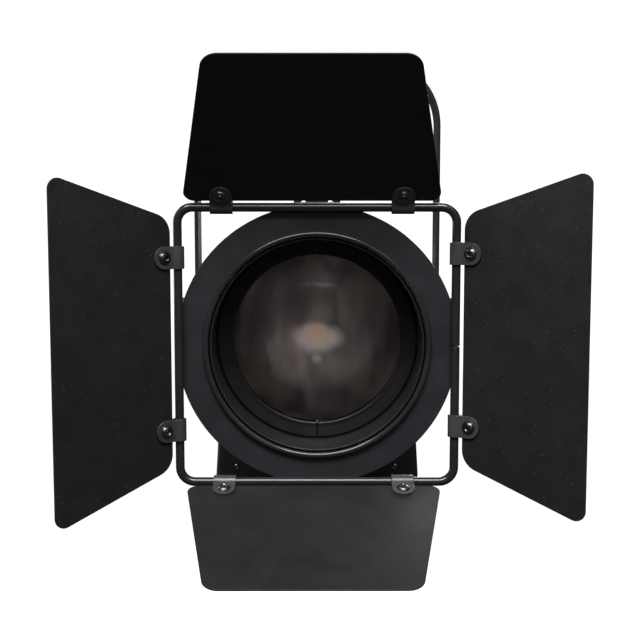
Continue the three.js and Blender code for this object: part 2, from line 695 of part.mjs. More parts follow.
piece(fixture, "shutter_barrel", shutterBarrel(), satinBlack);
piece(fixture, "lens_barrel", lensBarrel(), satinBlack);
piece(fixture, "accessory_holder", accessoryHolder(), satinBlack);
piece(fixture, "retaining_latch", retainingLatch(), satinBlack);

piece(barnDoors, "barn_door_disc", barnDoorDisc(), satinBlack);
piece(barnDoors, "barn_door_frame", rodFrame(), satinBlack);
for (const entry of LEAVES) hangLeaf(barnDoors, entry);

piece(fixture, "lens_carriage", lensCarriage(), insideBlack);
piece(fixture, "front_lens", lens(LENS_R, 95, 4, LENS_Y, 6, 36), clearGlass);
piece(fixture, "lens_ring", lensRing(), insideBlack);
piece(fixture, "rear_lens",
  lens(REAR_LENS.radius, REAR_LENS.curve, REAR_LENS.rim, REAR_LENS.y, 4, 28), clearGlass);
piece(fixture, "focus_knob", placed(starKnob(FOCUS_KNOB, FOCUS.stud + 0.3), 0, FOCUS.y, 0), plasticBlack);

piece(fixture, "gate_plate", gatePlate(), insideBlack);
const shutterPlanes = { left: [-33.6, -90], right: [-31.2, 90], top: [-28.8, 0], bottom: [-26.4, 180] };
for (const [name, [y, turn]] of Object.entries(shutterPlanes)) {
  piece(fixture, `shutter_${name}`, placed(shutter().rotate([0, turn, 0]), 0, y, 0), bareSteel);
}

piece(fixture, "reflector", reflector(), brightMirror);
piece(fixture, "led_module", ledModule(), phosphor);
piece(fixture, "heat_sink", heatSink(), aluminium);
piece(fixture, "fan_frame", fanFrame(), plasticBlack);
piece(fixture, "fan_rotor", fanRotor(), plasticBlack);
piece(fixture, "power_supply", box(-62, 62, 44, 108, -140, -84), aluminium);
piece(fixture, "lamp_house", lampHouse(), satinBlack);
piece(fixture, "rear_cover", rearCover(), plasticBlack);

piece(fixture, "display_window",
  box(-25.6, 25.6, COVER_REAR - 0.9, COVER_REAR + 0.5, PANEL.display - 12.1, PANEL.display + 12.1), plasticBlack);
for (let i = 0; i < 4; i++) piece(fixture, `menu_button_${i + 1}`, menuButton(i), plasticBlack);
for (const [name, x] of Object.entries(socketPlaces)) {
  const mouth = name === "power_inlet" ? 9.5 : 8.5;
  piece(fixture, name, panelSocket(x, mouth, 14), plasticBlack);
}
piece(fixture, "safety_eye", safetyEye(), bareSteel);

export default spotlight;
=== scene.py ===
"""Looks of the ellipsoidal spotlight with barn doors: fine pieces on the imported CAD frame."""

import math

import bmesh
import bpy
from mathutils import Matrix, Vector


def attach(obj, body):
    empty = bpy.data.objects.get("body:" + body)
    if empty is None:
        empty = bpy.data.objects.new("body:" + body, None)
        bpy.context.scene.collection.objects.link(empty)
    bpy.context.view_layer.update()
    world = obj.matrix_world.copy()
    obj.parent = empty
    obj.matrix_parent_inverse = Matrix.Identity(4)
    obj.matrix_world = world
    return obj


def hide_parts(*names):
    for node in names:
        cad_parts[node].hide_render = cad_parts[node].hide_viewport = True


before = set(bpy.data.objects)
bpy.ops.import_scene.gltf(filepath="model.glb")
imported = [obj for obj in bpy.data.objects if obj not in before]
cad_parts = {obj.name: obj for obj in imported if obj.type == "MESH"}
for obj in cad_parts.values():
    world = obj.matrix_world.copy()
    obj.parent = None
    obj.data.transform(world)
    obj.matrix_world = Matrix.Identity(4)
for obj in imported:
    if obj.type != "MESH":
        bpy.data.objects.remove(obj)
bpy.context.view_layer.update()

# ---------------------------------------------------------------- driving dimensions, mm
# x and z are measured from the optical axis and y from the tilt axis, except on the yoke,
# which is measured from the row frame's own origin.

AXIS_DROP = 205  # top of the yoke down to the tilt axis
YOKE_WIDTH = 190
YOKE_BAR = 28
YOKE_THICK = 3
YOKE_BEND = 52
ARM_HOLE = 5.3
HANG_HOLE = 6.5
SIDE_HOLE = 4.3
SIDE_HOLE_AT = 27
BOSS_FACE = 89.4

FRAME_Y = -150
FRAME_HALF = 92.5
FRAME_BEND = 10
ROD_R = 3
DISC_FRONT = -146.7
DISC_R = 94.5
MOUTH_R = 72.9
LEAF_THICK = 1.2
LEAF_START = 6.1
RIVET_AT = 11.5
STRAP_WIDTH = 15
STRAP_THICK = 1.2

BARREL_R = 72.3
BARREL_WALL = 1.6
FLANGE_R = 78
CASTING_R = 76.5
HOLDER_R = 88
LATCH_Y = -124  # the latch's pin
LATCH_Z = 95
CARRIER_R = 70.2
LENS_Y = -108.3
LENS_R = 60
FOCUS_Y = -90

HOUSE_FRONT = 34.5
HOUSE_REAR = 136
HOUSE_BOTTOM = -146
HOUSE_WALL = 2.5
HOUSE_FLARE = math.radians(3)
COVER_REAR = 148
FAN_Z = -6
GRILLE_R = 42
GRILLE_BARS = 9
GRILLE_PITCH = 9
DISPLAY_Z = -72
BUTTONS_Z = -95
BUTTON_PITCH = 15
SOCKETS_Z = -121
SOCKET_PITCH = 44

TAPERED = {"hinge": 171.2, "far": 129.5, "length": 122.7, "clips": 120, "rounds": (7, 11)}
FLARED = {"hinge": 167.4, "far": 225.7, "length": 94.5, "clips": 116, "rounds": (14, 7)}
LEAVES = {
    "top": {"side": 0, "open": 42, "shift": -3.2, "shape": TAPERED},
    "right": {"side": 90, "open": 34.6, "shift": -4, "shape": FLARED},
    "bottom": {"side": 180, "open": 72.9, "shift": 2.3, "shape": TAPERED},
    "left": {"side": -90, "open": 40.2, "shift": 1.4, "shape": FLARED},
}

# each shutter's plane along y and its turn about the axis
SHUTTERS = {"left": (-33.6, -90), "right": (-31.2, 90), "top": (-28.8, 0), "bottom": (-26.4, 180)}

MM = 0.001
ROW = Matrix.Scale(MM, 4)
FIXTURE = Matrix.Translation((0, 0, -AXIS_DROP * MM)) @ ROW

# ---------------------------------------------------------------- shapes, in mm


def turn(axis, degrees):
    return Matrix.Rotation(math.radians(degrees), 4, axis)


def move(x, y, z):
    return Matrix.Translation((x, y, z))


# a shape drawn in (a, b) with its thickness along the third axis, laid in each plane
IN_XZ = turn("X", 90)
IN_YZ = Matrix(((0, 0, 1, 0), (1, 0, 0, 0), (0, 1, 0, 0), (0, 0, 0, 1)))
TO_RIGHT = turn("Z", -90)  # +Y to +X
TO_LEFT = turn("Z", 90)  # +Y to -X


def arc(x, y, radius, start, end, steps):
    """Points along an arc, angles in radians."""
    angles = [start + (end - start) * k / steps for k in range(steps + 1)]
    return [(x + radius * math.cos(a), y + radius * math.sin(a)) for a in angles]


def circle(radius, x=0, y=0, sides=48):
    return arc(x, y, radius, 0, math.tau, sides)[:-1]


def rounded(corners, steps=5):
    """A closed outline through corners (a, b, radius), or (a, b) where the corner is sharp."""
    points = []
    for i, corner in enumerate(corners):
        here = Vector(corner[:2])
        radius = corner[2] if len(corner) > 2 else 0
        if radius == 0:
            points.append(tuple(here))
            continue
        before = (Vector(corners[i - 1][:2]) - here).normalized()
        after = (Vector(corners[(i + 1) % len(corners)][:2]) - here).normalized()
        half = before.angle(after) / 2
        centre = here + (before + after).normalized() * radius / math.sin(half)
        spoke = here + before * radius / math.tan(half) - centre
        last = here + after * radius / math.tan(half) - centre
        first = math.atan2(spoke.y, spoke.x)
        sweep = math.atan2(spoke.x * last.y - spoke.y * last.x, spoke.dot(last))
        points += arc(centre.x, centre.y, radius, first, first + sweep, steps)
    return points


def rectangle(width, height, radius, x=0, y=0, steps=6):
    left, right = x - width / 2, x + width / 2
    low, high = y - height / 2, y + height / 2
    corners = [(left, low), (right, low), (right, high), (left, high)]
    return rounded([(*corner, radius) for corner in corners], steps)


def mesh_of(vertices, faces):
    mesh = bpy.data.meshes.new("shape")
    mesh.from_pydata(vertices, [], faces)
    work = bmesh.new()
    work.from_mesh(mesh)
    bmesh.ops.recalc_face_normals(work, faces=work.faces)
    work.to_mesh(mesh)
    work.free()
    return mesh


def placed(mesh, matrix):
    mesh.transform(matrix)
    return mesh


def joined(*meshes):
    work = bmesh.new()
    for mesh in meshes:
        work.from_mesh(mesh)
    mesh = bpy.data.meshes.new("shape")
    work.to_mesh(mesh)
    work.free()
    return mesh


def turned(profile, sides=96, wave=None, gap=0):
    """A profile of (radius, y) turned about the Y axis. It closes on itself or ends on the axis.
    wave(radius, angle) changes the radius with the angle; gap leaves a slit open at the bottom."""
    columns = sides + 1 if gap else sides
    vertices, rings = [], []
    for radius, y in profile:
        ring = []
        for k in range(1 if radius < 1e-6 else columns):
            angle = gap / 2 + (math.tau - gap) * k / sides
            reach = wave(radius, angle) if wave else radius
            ring.append(len(vertices))
            vertices.append((reach * math.sin(angle), y, -reach * math.cos(angle)))
        rings.append(ring)
    faces = []
    closed = len(rings[0]) > 1
    for i in range(len(rings) if closed else len(rings) - 1):
        one, two = rings[i], rings[(i + 1) % len(rings)]
        for k in range(sides):
            n = (k + 1) % columns
            quad = [one[k % len(one)], one[n % len(one)], two[n % len(two)], two[k % len(two)]]
            faces.append(list(dict.fromkeys(quad)))
    if gap:
        faces += [[ring[0] for ring in rings], [ring[-1] for ring in rings]]
    return mesh_of(vertices, faces)


def lathe(corners, sides=96, steps=4, **options):
    """A closed profile of corners (radius, y, rounding), turned about the Y axis."""
    return turned(rounded(corners, steps), sides, **options)


def disc(radius, start, end, edge=0.6, sides=48, wave=None):
    """A short round bar along Y with rounded rims."""
    profile = rounded([(0, start), (radius, start, edge), (radius, end, edge), (0, end)], 4)
    return turned(profile, sides, wave)


def plate(outlines, low, high, edge=0.3, laid=IN_XZ):
    """A plate with the first outline outside and the others as holes, and rounded edges."""
    curve = bpy.data.curves.new("plate", "CURVE")
    curve.dimensions = "2D"
    curve.fill_mode = "BOTH"
    curve.extrude = (high - low) / 2 - edge
    curve.bevel_depth = edge
    curve.bevel_resolution = 2
    curve.offset = -edge
    for points in outlines:
        spline = curve.splines.new("POLY")
        spline.points.add(len(points) - 1)
        for point, (a, b) in zip(spline.points, points):
            point.co = (a, b, 0, 1)
        spline.use_cyclic_u = True
    holder = bpy.data.objects.new("plate", curve)
    mesh = bpy.data.meshes.new_from_object(holder)
    bpy.data.objects.remove(holder)
    work = bmesh.new()
    work.from_mesh(mesh)
    bmesh.ops.remove_doubles(work, verts=work.verts, dist=1e-4)
    bmesh.ops.recalc_face_normals(work, faces=work.faces)
    work.to_mesh(mesh)
    work.free()
    middle = move(0, (low + high) / 2, 0) if laid is IN_XZ else move((low + high) / 2, 0, 0)
    return placed(mesh, middle @ laid)


def stations(path, extra):
    """Points along a path at its own corners and at extra distances, each with its tangent."""
    points = [Vector(p) for p in path]
    lengths = [0]
    for a, b in zip(points, points[1:]):
        lengths.append(lengths[-1] + (b - a).length)
    total = lengths[-1]
    wanted = sorted(set(extra + [total - e for e in extra]))
    inner = [s for s in lengths if max(extra) < s < total - max(extra)]
    found = []
    for s in sorted(wanted + inner):
        i = max(k for k, l in enumerate(lengths[:-1]) if l <= s + 1e-9)
        part = points[i + 1] - points[i]
        at = points[i] + part * (s - lengths[i]) / part.length
        before = points[i] - points[i - 1] if i and abs(s - lengths[i]) < 1e-9 else part
        found.append((s, total - s, at, (part.normalized() + before.normalized()).normalized()))
    return found


def swept(path, section, extra):
    """A solid along a path. section(distance from the nearer end) gives its ring (across, along Z)."""
    vertices, rings = [], []
    for start, rest, at, tangent in stations(path, extra):
        across = Vector((-tangent.y, tangent.x))
        ring = []
        for a, w in section(min(start, rest)):
            spot = at + across * a
            ring.append(len(vertices))
            vertices.append((spot.x, spot.y, w))
        rings.append(ring)
    faces = [rings[0][::-1], rings[-1]]
    for one, two in zip(rings, rings[1:]):
        for k in range(len(one)):
            n = (k + 1) % len(one)
            faces.append([one[k], one[n], two[n], two[k]])
    return mesh_of(vertices, faces)


def strip(path, width, thick, edge):
    """Flat bar with half-round ends, bent along a path."""
    reach = width / 2

    def section(end):
        half = reach if end >= reach else math.sqrt(max(reach**2 - (reach - end) ** 2, 0.01))
        return rectangle(thick, 2 * half, min(edge, half * 0.9), steps=3)

    return swept(path, section, [reach * (1 - math.cos(math.pi / 2 * k / 10)) for k in range(11)])


def pipe(path, radius, chamfer):
    """Round rod bent along a path."""

    def section(end):
        return circle(radius - chamfer + min(end, chamfer), sides=24)

    return swept(path, section, [0, chamfer])


def carved(mesh, tools):
    """mesh with the tools' solids taken out."""
    body = bpy.data.objects.new("body", mesh)
    tool = bpy.data.objects.new("tool", joined(*tools))
    for item in (body, tool):
        bpy.context.scene.collection.objects.link(item)
    cutting = body.modifiers.new("cut", "BOOLEAN")
    cutting.object = tool
    cutting.solver = "EXACT"
    bpy.context.view_layer.update()
    result = bpy.data.meshes.new_from_object(body.evaluated_get(bpy.context.evaluated_depsgraph_get()))
    for item in (body, tool):
        bpy.data.objects.remove(item)
    return result


def block(x0, x1, y0, y1, z0, z1):
    """A plain cutter for slots and windows."""
    corners = [(x, y, z) for x in (x0, x1) for y in (y0, y1) for z in (z0, z1)]
    faces = [(0, 1, 3, 2), (4, 6, 7, 5), (0, 4, 5, 1), (2, 3, 7, 6), (0, 2, 6, 4), (1, 5, 7, 3)]
    return mesh_of(corners, faces)


def piece(name, mesh, body, finish, stands_for=(), where=FIXTURE, bevel=0):
    """Puts a shape in the scene as a piece of the object, riding on a body."""
    mesh.transform(where)
    mesh.polygons.foreach_set("use_smooth", [True] * len(mesh.polygons))
    mesh.materials.clear()
    mesh.materials.append(finish)
    mesh.name = name
    item = bpy.data.objects.new(name, mesh)
    bpy.context.scene.collection.objects.link(item)
    if bevel:
        edges = item.modifiers.new("edges", "BEVEL")
        edges.width = bevel * MM
        edges.segments = 3
        edges.limit_method = "ANGLE"
        edges.angle_limit = math.radians(40)
    else:
        mesh.set_sharp_from_angle(angle=math.radians(50))
    normals = item.modifiers.new("normals", "WEIGHTED_NORMAL")
    normals.keep_sharp = True
    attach(item, body)
    if stands_for:
        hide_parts(*stands_for)
    return item

# ---------------------------------------------------------------- materials


class Nodes:
    """A material's node tree, with short ways to add noise, ramps and bumps in the row frame."""

    def __init__(self, name):
        self.material = bpy.data.materials.new(name)
        self.material.use_nodes = True
        self.tree = self.material.node_tree
        self.shader = self.tree.nodes["Principled BSDF"]
        self.place = self.add("ShaderNodeTexCoord").outputs["Object"]

    def add(self, kind, **settings):
        node = self.tree.nodes.new(kind)
        for key, value in settings.items():
            setattr(node, key, value)
        return node

    def link(self, output, target):
        self.tree.links.new(output, target)

    def noise(self, scale, detail=3, roughness=0.6):
        node = self.add("ShaderNodeTexNoise")
        node.inputs["Scale"].default_value = scale
        node.inputs["Detail"].default_value = detail
        node.inputs["Roughness"].default_value = roughness
        self.link(self.place, node.inputs["Vector"])
        return node.outputs["Fac"]

    def stretched_noise(self, scale, upright):
        """Noise drawn out into upright streaks."""
        streaks = self.add("ShaderNodeMapping")
        streaks.inputs["Scale"].default_value = (1, 1, upright)
        self.link(self.place, streaks.inputs["Vector"])
        node = self.add("ShaderNodeTexNoise")
        node.inputs["Scale"].default_value = scale
        self.link(streaks.outputs["Vector"], node.inputs["Vector"])
        return node.outputs["Fac"]

    def distance(self, x, z, squash):
        """Metres from the line along Y at (x, z) mm; squash makes heights count for more."""
        centred = self.add("ShaderNodeMapping")
        centred.inputs["Location"].default_value = (-x * MM, 0, -z * MM * squash)
        centred.inputs["Scale"].default_value = (1, 0, squash)
        self.link(self.place, centred.inputs["Vector"])
        length = self.add("ShaderNodeVectorMath", operation="LENGTH")
        self.link(centred.outputs["Vector"], length.inputs[0])
        return length.outputs["Value"]

    def spread(self, value, low, high, start=0.35, end=0.65):
        """A noise's middle range stretched to run from low to high."""
        node = self.add("ShaderNodeMapRange")
        self.link(value, node.inputs["Value"])
        for name, number in (("From Min", start), ("From Max", end), ("To Min", low), ("To Max", high)):
            node.inputs[name].default_value = number
        return node.outputs["Result"]

    def mixed(self, factor, one, two):
        """Colour one where the factor is 0 and two where it is 1; each is a colour or an output."""
        node = self.add("ShaderNodeMix", data_type="RGBA")
        self.link(factor, node.inputs["Factor"])
        for socket, value in ((node.inputs[6], one), (node.inputs[7], two)):
            if isinstance(value, tuple):
                socket.default_value = (*value, 1)
            else:
                self.link(value, socket)
        return node.outputs[2]

    def math(self, operation, one, two):
        node = self.add("ShaderNodeMath", operation=operation)
        for socket, value in zip(node.inputs, (one, two)):
            if isinstance(value, (int, float)):
                socket.default_value = value
            else:
                self.link(value, socket)
        return node.outputs[0]

    def specks(self, scale, size):
        """Sparse small grains: 1 inside a grain and 0 outside."""
        cells = self.add("ShaderNodeTexVoronoi")
        cells.inputs["Scale"].default_value = scale
        self.link(self.place, cells.inputs["Vector"])
        near = self.math("LESS_THAN", cells.outputs["Distance"], size)
        chosen = self.math("GREATER_THAN", self.noise(scale * 0.31, 0), 0.56)
        return self.math("MULTIPLY", near, chosen)

    def bump(self, height, strength, distance=0.0002, after=None):
        node = self.add("ShaderNodeBump")
        node.inputs["Strength"].default_value = strength
        node.inputs["Distance"].default_value = distance
        self.link(height, node.inputs["Height"])
        if after:
            self.link(after, node.inputs["Normal"])
        return node.outputs["Normal"]

    def finish(self, colour, roughness, normal=None, **constants):
        self.link(colour, self.shader.inputs["Base Color"])
        self.link(roughness, self.shader.inputs["Roughness"])
        if normal:
            self.link(normal, self.shader.inputs["Normal"])
        for name, value in constants.items():
            self.shader.inputs[name.replace("_", " ")].default_value = value
        return self.material


def paint(name, dark, light, gloss, grain=900, texture=0.25, dust=0, **constants):
    """Black coating: slow drifts of shade, a fine texture, and dust where asked."""
    n = Nodes(name)
    colour = n.mixed(n.spread(n.noise(22), 0, 1), dark, light)
    if dust:
        colour = n.mixed(n.math("MULTIPLY", n.specks(330, 0.11), dust), colour, (0.32, 0.31, 0.3))
    roughness = n.spread(n.noise(60, 4), gloss - 0.05, gloss + 0.06)
    fine = n.bump(n.noise(grain, 2, 0.7), texture, 0.0003)
    return n.finish(colour, roughness, fine, **constants)


def metal(name, dark, light, gloss, stretch=(1, 1, 1), scratches=0.12):
    """Metal with a brushed or rolled grain along the axis that is stretched."""
    n = Nodes(name)
    mapping = n.add("ShaderNodeMapping")
    mapping.inputs["Scale"].default_value = stretch
    n.link(n.place, mapping.inputs["Vector"])
    broad = n.noise(40, 4)
    n.place = mapping.outputs["Vector"]
    grain = n.noise(700, 3, 0.7)
    colour = n.mixed(n.spread(broad, 0, 1), dark, light)
    roughness = n.spread(grain, gloss - 0.06, gloss + 0.1)
    return n.finish(colour, roughness, n.bump(grain, scratches, 0.0002), Metallic=1.0)


def plastic(name, dark, light, gloss):
    """Moulded plastic with a fine spark-eroded texture."""
    n = Nodes(name)
    colour = n.mixed(n.spread(n.noise(30), 0, 1), dark, light)
    roughness = n.spread(n.noise(120, 3), gloss - 0.06, gloss + 0.06)
    return n.finish(colour, roughness, n.bump(n.noise(1500, 2, 0.8), 0.3, 0.0002))


def lens_glass(name, tint):
    """Clear pressed lens with faint smears in its coating."""
    n = Nodes(name)
    colour = n.mixed(n.spread(n.noise(18, 2), 0, 1), tint, tuple(min(1, c * 1.06) for c in tint))
    roughness = n.spread(n.noise(26, 3), 0.06, 0.1)
    normal = n.bump(n.noise(30, 1), 0.01, 0.0001)
    coating = (0.05, 0.055, 0.06, 1)
    return n.finish(colour, roughness, normal, Transmission_Weight=1.0, IOR=1.49, Specular_Tint=coating)


def lens_with_painted_glow(name):
    """The rear lens with painted light: a painted warm emitter glow in a painted pale pool of light, a
    small painted ghost reflection below it, and painted mottled reflections round it.
    """
    n = Nodes(name)
    wobble = n.math("MULTIPLY", n.math("SUBTRACT", n.noise(75, 2), 0.5), 0.012)
    away = n.math("ADD", n.distance(0, -AXIS_DROP, 1.7), wobble)
    # Painted reflection streaks: upright streaks of the mottled reflections seen through the lens, used
    # in the painted haze and again in the base colour.
    upright = n.spread(n.stretched_noise(78, 0.35), 0, 1, 0.36, 0.64)
    tint = n.mixed(n.spread(n.noise(38, 2), 0, 1, 0.33, 0.67), (0.38, 0.275, 0.285), (0.25, 0.24, 0.2))
    # Painted reflection haze: pinkish and greenish mottled reflections with dark upright streaks.
    painted_haze = n.mixed(upright, (0.09, 0.065, 0.072), tint)
    # Painted pool of light: pale round the axis, fading outwards.
    painted_light_pool = n.spread(away, 1, 0, 0.009, 0.018)
    # Painted highlight of the warm emitter just above the axis, and a small painted ghost reflection 13
    # mm below the axis.
    painted_emitter_glow = n.spread(n.distance(0, 3 - AXIS_DROP, 1), 1, 0, 0.0, 0.008)
    painted_ghost_reflection = n.spread(n.distance(0, -13 - AXIS_DROP, 1), 1, 0, 0.001, 0.004)
    painted_glow = n.mixed(painted_light_pool, painted_haze, (0.8, 0.66, 0.64))
    painted_glow = n.mixed(painted_emitter_glow, painted_glow, (1.0, 0.6, 0.26))
    painted_glow = n.mixed(painted_ghost_reflection, painted_glow, (0.75, 0.62, 0.6))
    # The painted light goes out as emission, strongest near the axis and fading outwards, though the lens
    # is no lamp.
    n.link(painted_glow, n.shader.inputs["Emission Color"])
    n.link(n.spread(away, 0.22, 0.06, 0.004, 0.045), n.shader.inputs["Emission Strength"])
    # Base colour: the painted reflection streaks again, as darker and lighter bands.
    colour = n.mixed(upright, (0.024, 0.019, 0.021), (0.045, 0.038, 0.039))
    roughness = n.spread(n.noise(70, 2), 0.3, 0.4)
    return n.finish(colour, roughness, n.bump(n.noise(500, 1), 0.03, 0.0001))


COAT = paint("powder_coat", (0.015, 0.0153, 0.017), (0.021, 0.0213, 0.024), 0.36)
YOKE_COAT = paint("yoke_coat", (0.014, 0.0142, 0.0155), (0.02, 0.0203, 0.022), 0.52,
                  Specular_IOR_Level=0.25)
DISC_COAT = paint("disc_coat", (0.018, 0.0172, 0.0212), (0.0255, 0.0245, 0.0298), 0.42, dust=0.1)
LEAF_COAT = paint("leaf_coat", (0.0095, 0.0096, 0.0103), (0.0122, 0.0124, 0.0132), 0.56,
                  texture=0.2, dust=0.25)
HOUSE_COAT = paint("house_coat", (0.014, 0.0142, 0.0157), (0.02, 0.0203, 0.0222), 0.44,
                   grain=650, texture=0.4)
INSIDE = paint("inside_black", (0.012, 0.012, 0.0128), (0.018, 0.018, 0.019), 0.6, texture=0.35,
               Specular_IOR_Level=0.3)
RING_BLACK = paint("ring_black", (0.006, 0.006, 0.0062), (0.01, 0.01, 0.0103), 0.42, texture=0.3,
                   Specular_IOR_Level=0.3)
ROD_COAT = paint("rod_coat", (0.018, 0.018, 0.0195), (0.027, 0.027, 0.029), 0.16,
                 texture=0.08, Specular_IOR_Level=0.7)
CLIP_COAT = paint("clip_coat", (0.042, 0.041, 0.044), (0.07, 0.068, 0.072), 0.28,
                  grain=700, texture=0.3, dust=0.2)
OXIDE = metal("black_oxide", (0.13, 0.13, 0.136), (0.21, 0.208, 0.215), 0.27)
STEEL = metal("zinc_steel", (0.46, 0.46, 0.47), (0.6, 0.6, 0.61), 0.3)
BLADE = metal("shutter_steel", (0.36, 0.35, 0.34), (0.5, 0.49, 0.48), 0.34, stretch=(1, 1, 0.08))
ALUMINIUM = metal("extruded_aluminium", (0.55, 0.56, 0.57), (0.68, 0.69, 0.7), 0.36,
                  stretch=(1, 0.05, 1))
MIRROR = metal("bright_mirror", (0.86, 0.87, 0.88), (0.92, 0.93, 0.94), 0.09, scratches=0.02)
PLASTIC = plastic("black_plastic", (0.018, 0.018, 0.0185), (0.028, 0.028, 0.029), 0.5)
SOFT_GRIP = plastic("soft_grip", (0.014, 0.014, 0.0145), (0.02, 0.02, 0.021), 0.68)
FIBRE = plastic("pressed_fibre", (0.16, 0.095, 0.055), (0.26, 0.16, 0.1), 0.8)
WINDOW = plastic("smoked_window", (0.008, 0.009, 0.011), (0.012, 0.013, 0.015), 0.1)
PHOSPHOR = plastic("phosphor", (0.78, 0.5, 0.12), (0.86, 0.6, 0.18), 0.6)
FRONT_GLASS = lens_glass("front_glass", (0.96, 0.94, 0.91))
REAR_GLASS_PAINTED_GLOW = lens_with_painted_glow("rear_glass")

# ---------------------------------------------------------------- screws


def polygon_wave(sides, limit):
    """Turns the rings inside a limit radius into polygons, for a socket."""

    def wave(radius, angle):
        if radius > limit:
            return radius
        part = math.tau / sides
        return radius * math.cos(part / 2) / math.cos((angle % part) - part / 2)

    return wave


def button_screw(radius, height):
    """A button head with a hexagon socket, its seat at y = 0 and its crown towards -Y."""
    socket = radius * 0.42
    angles = [k * math.pi / 2 / 9 for k in range(7)]
    crown = [(radius * math.cos(t), -height * math.sin(t)) for t in angles]
    profile = [(0, 0), (radius, 0), *crown, (socket + 0.25, -height * 0.97), (socket, -height * 0.8)]
    profile += [(socket * 0.98, -height * 0.3), (0, -height * 0.25)]
    return turned(profile, 36, polygon_wave(6, socket + 0.01))


def screws(name, places, radius, height, body, aim=Matrix(), finish=OXIDE):
    """Button screws at places (x, y, z), facing -Y unless turned by aim."""
    heads = [placed(button_screw(radius, height), move(*at) @ aim) for at in places]
    return piece(name, joined(*heads), body, finish)


# ---------------------------------------------------------------- yoke and tilt hardware


def yoke():
    half = (YOKE_WIDTH - YOKE_THICK) / 2
    radius = YOKE_BEND - YOKE_THICK / 2
    top = -YOKE_THICK / 2
    foot = -AXIS_DROP - YOKE_BAR / 2
    corner = half - radius
    path = [(half, foot), *arc(corner, top - radius, radius, 0, math.pi / 2, 16)]
    path += [*arc(-corner, top - radius, radius, math.pi / 2, math.pi, 16), (-half, foot)]
    bar = placed(strip(path, YOKE_BAR, YOKE_THICK, 0.8), IN_XZ)
    pivots = placed(turned([(0, -120), (ARM_HOLE, -120), (ARM_HOLE, 120), (0, 120)], 40), TO_RIGHT)
    tools = [placed(pivots, move(0, 0, -AXIS_DROP))]
    for x, size in ((0, HANG_HOLE), (-SIDE_HOLE_AT, SIDE_HOLE), (SIDE_HOLE_AT, SIDE_HOLE)):
        hole = turned([(0, -9), (size, -9), (size, 9), (0, 9)], 40)
        tools.append(placed(hole, move(x, 0, 0) @ turn("X", 90)))
    piece("yoke_bar", carved(bar, tools), "yoke", YOKE_COAT, ["yoke"], ROW, bevel=0.35)


def star(count, lobe, start, full):
    """A wave of rounded lobes that grows from a start radius to its full depth."""

    def wave(radius, angle):
        depth = max(0, min(1, (radius - start) / (full - start)))
        return radius + lobe * depth * math.cos(count * angle)

    return wave


def star_knob(start, length, radius, lobe, count, bore, hole):
    """A star knob along +Y with a dished cap."""
    end = start + length
    profile = rounded([
        (0, start + bore), (hole, start + bore), (hole, start), (radius * 0.62, start, 0.5),
        (radius * 0.64, start + 3, 0.4), (radius, start + 3.2, 1.4), (radius, end - 1, 2.6),
        (radius * 0.66, end, 1), (radius * 0.6, end - 0.8, 0.5), (0, end - 0.9),
    ], 5)
    return turned(profile, 120, star(count, lobe, radius * 0.7, radius * 0.95))


def tilt_hardware():
    for name, way in (("left", TO_LEFT), ("right", TO_RIGHT)):
        washer = lathe([(4.6, BOSS_FACE + 0.3), (15, BOSS_FACE + 0.3, 0.3), (15, BOSS_FACE + 2.3, 0.3),
                        (4.6, BOSS_FACE + 2.3)], 64)
        piece(f"washer_{name}", placed(washer, way), "yoke", FIBRE, [f"pivot_washer_{name}"])
        knob = star_knob(YOKE_WIDTH / 2 + 0.3, 16, 17.5, 1.6, 6, 12.5, 4.3)
        piece(f"knob_{name}", placed(knob, way), f"tilt_knob_{name}", PLASTIC, [f"tilt_knob_{name}"])
        cap = lathe([(0, 110.45), (8.6, 110.45), (8.6, 110.75, 0.2), (0, 110.75)], 48)
        piece(f"knob_cap_{name}", placed(cap, way), f"tilt_knob_{name}", OXIDE)


# ---------------------------------------------------------------- barrels


def shutter_barrel():
    inner = CASTING_R - 3.5
    back = HOUSE_FRONT - 0.3
    tube = lathe([
        (BARREL_R + 0.3, -62), (CASTING_R - 1, -62, 0.6), (CASTING_R, -60.5, 0.8), (CASTING_R, back, 0.8),
        (inner - 8, back), (inner - 8, 30), (inner, 30), (inner, -49), (BARREL_R + 0.3, -49),
    ], 128)
    openings = [block(-90, 90, -38, -22, -37, 37), block(-37, 37, -38, -22, -90, 90)]
    piece("shutter_casting", carved(tube, openings), "fixture", HOUSE_COAT, ["shutter_barrel"],
          bevel=0.5)
    for name, way in (("left", TO_LEFT), ("right", TO_RIGHT)):
        boss = lathe([(4.4, 70), (21, 70), (21, 74.5, 1), (17, 78, 2.5), (17, BOSS_FACE, 0.8),
                      (4.4, BOSS_FACE)], 64)
        piece(f"pivot_boss_{name}", placed(boss, way), "fixture", HOUSE_COAT)
    for end, y in (("front", -55), ("back", 27)):
        root, crest = CASTING_R - 1, CASTING_R + 1.4
        rib = lathe([(root, y - 2), (crest, y - 2, 0.7), (crest, y + 2, 0.7), (root, y + 2)], 128)
        piece(f"casting_rib_{end}", rib, "fixture", HOUSE_COAT)
    for i, degrees in enumerate((45, 135, 225, 315)):
        outward = turn("Y", degrees) @ move(0, 0, CASTING_R - 0.15) @ turn("X", -90)
        heads = [placed(button_screw(2.6, 1.6), move(0, y, 0) @ outward) for y in (-44, 12)]
        piece(f"casting_screws_{i + 1}", joined(*heads), "fixture", OXIDE)


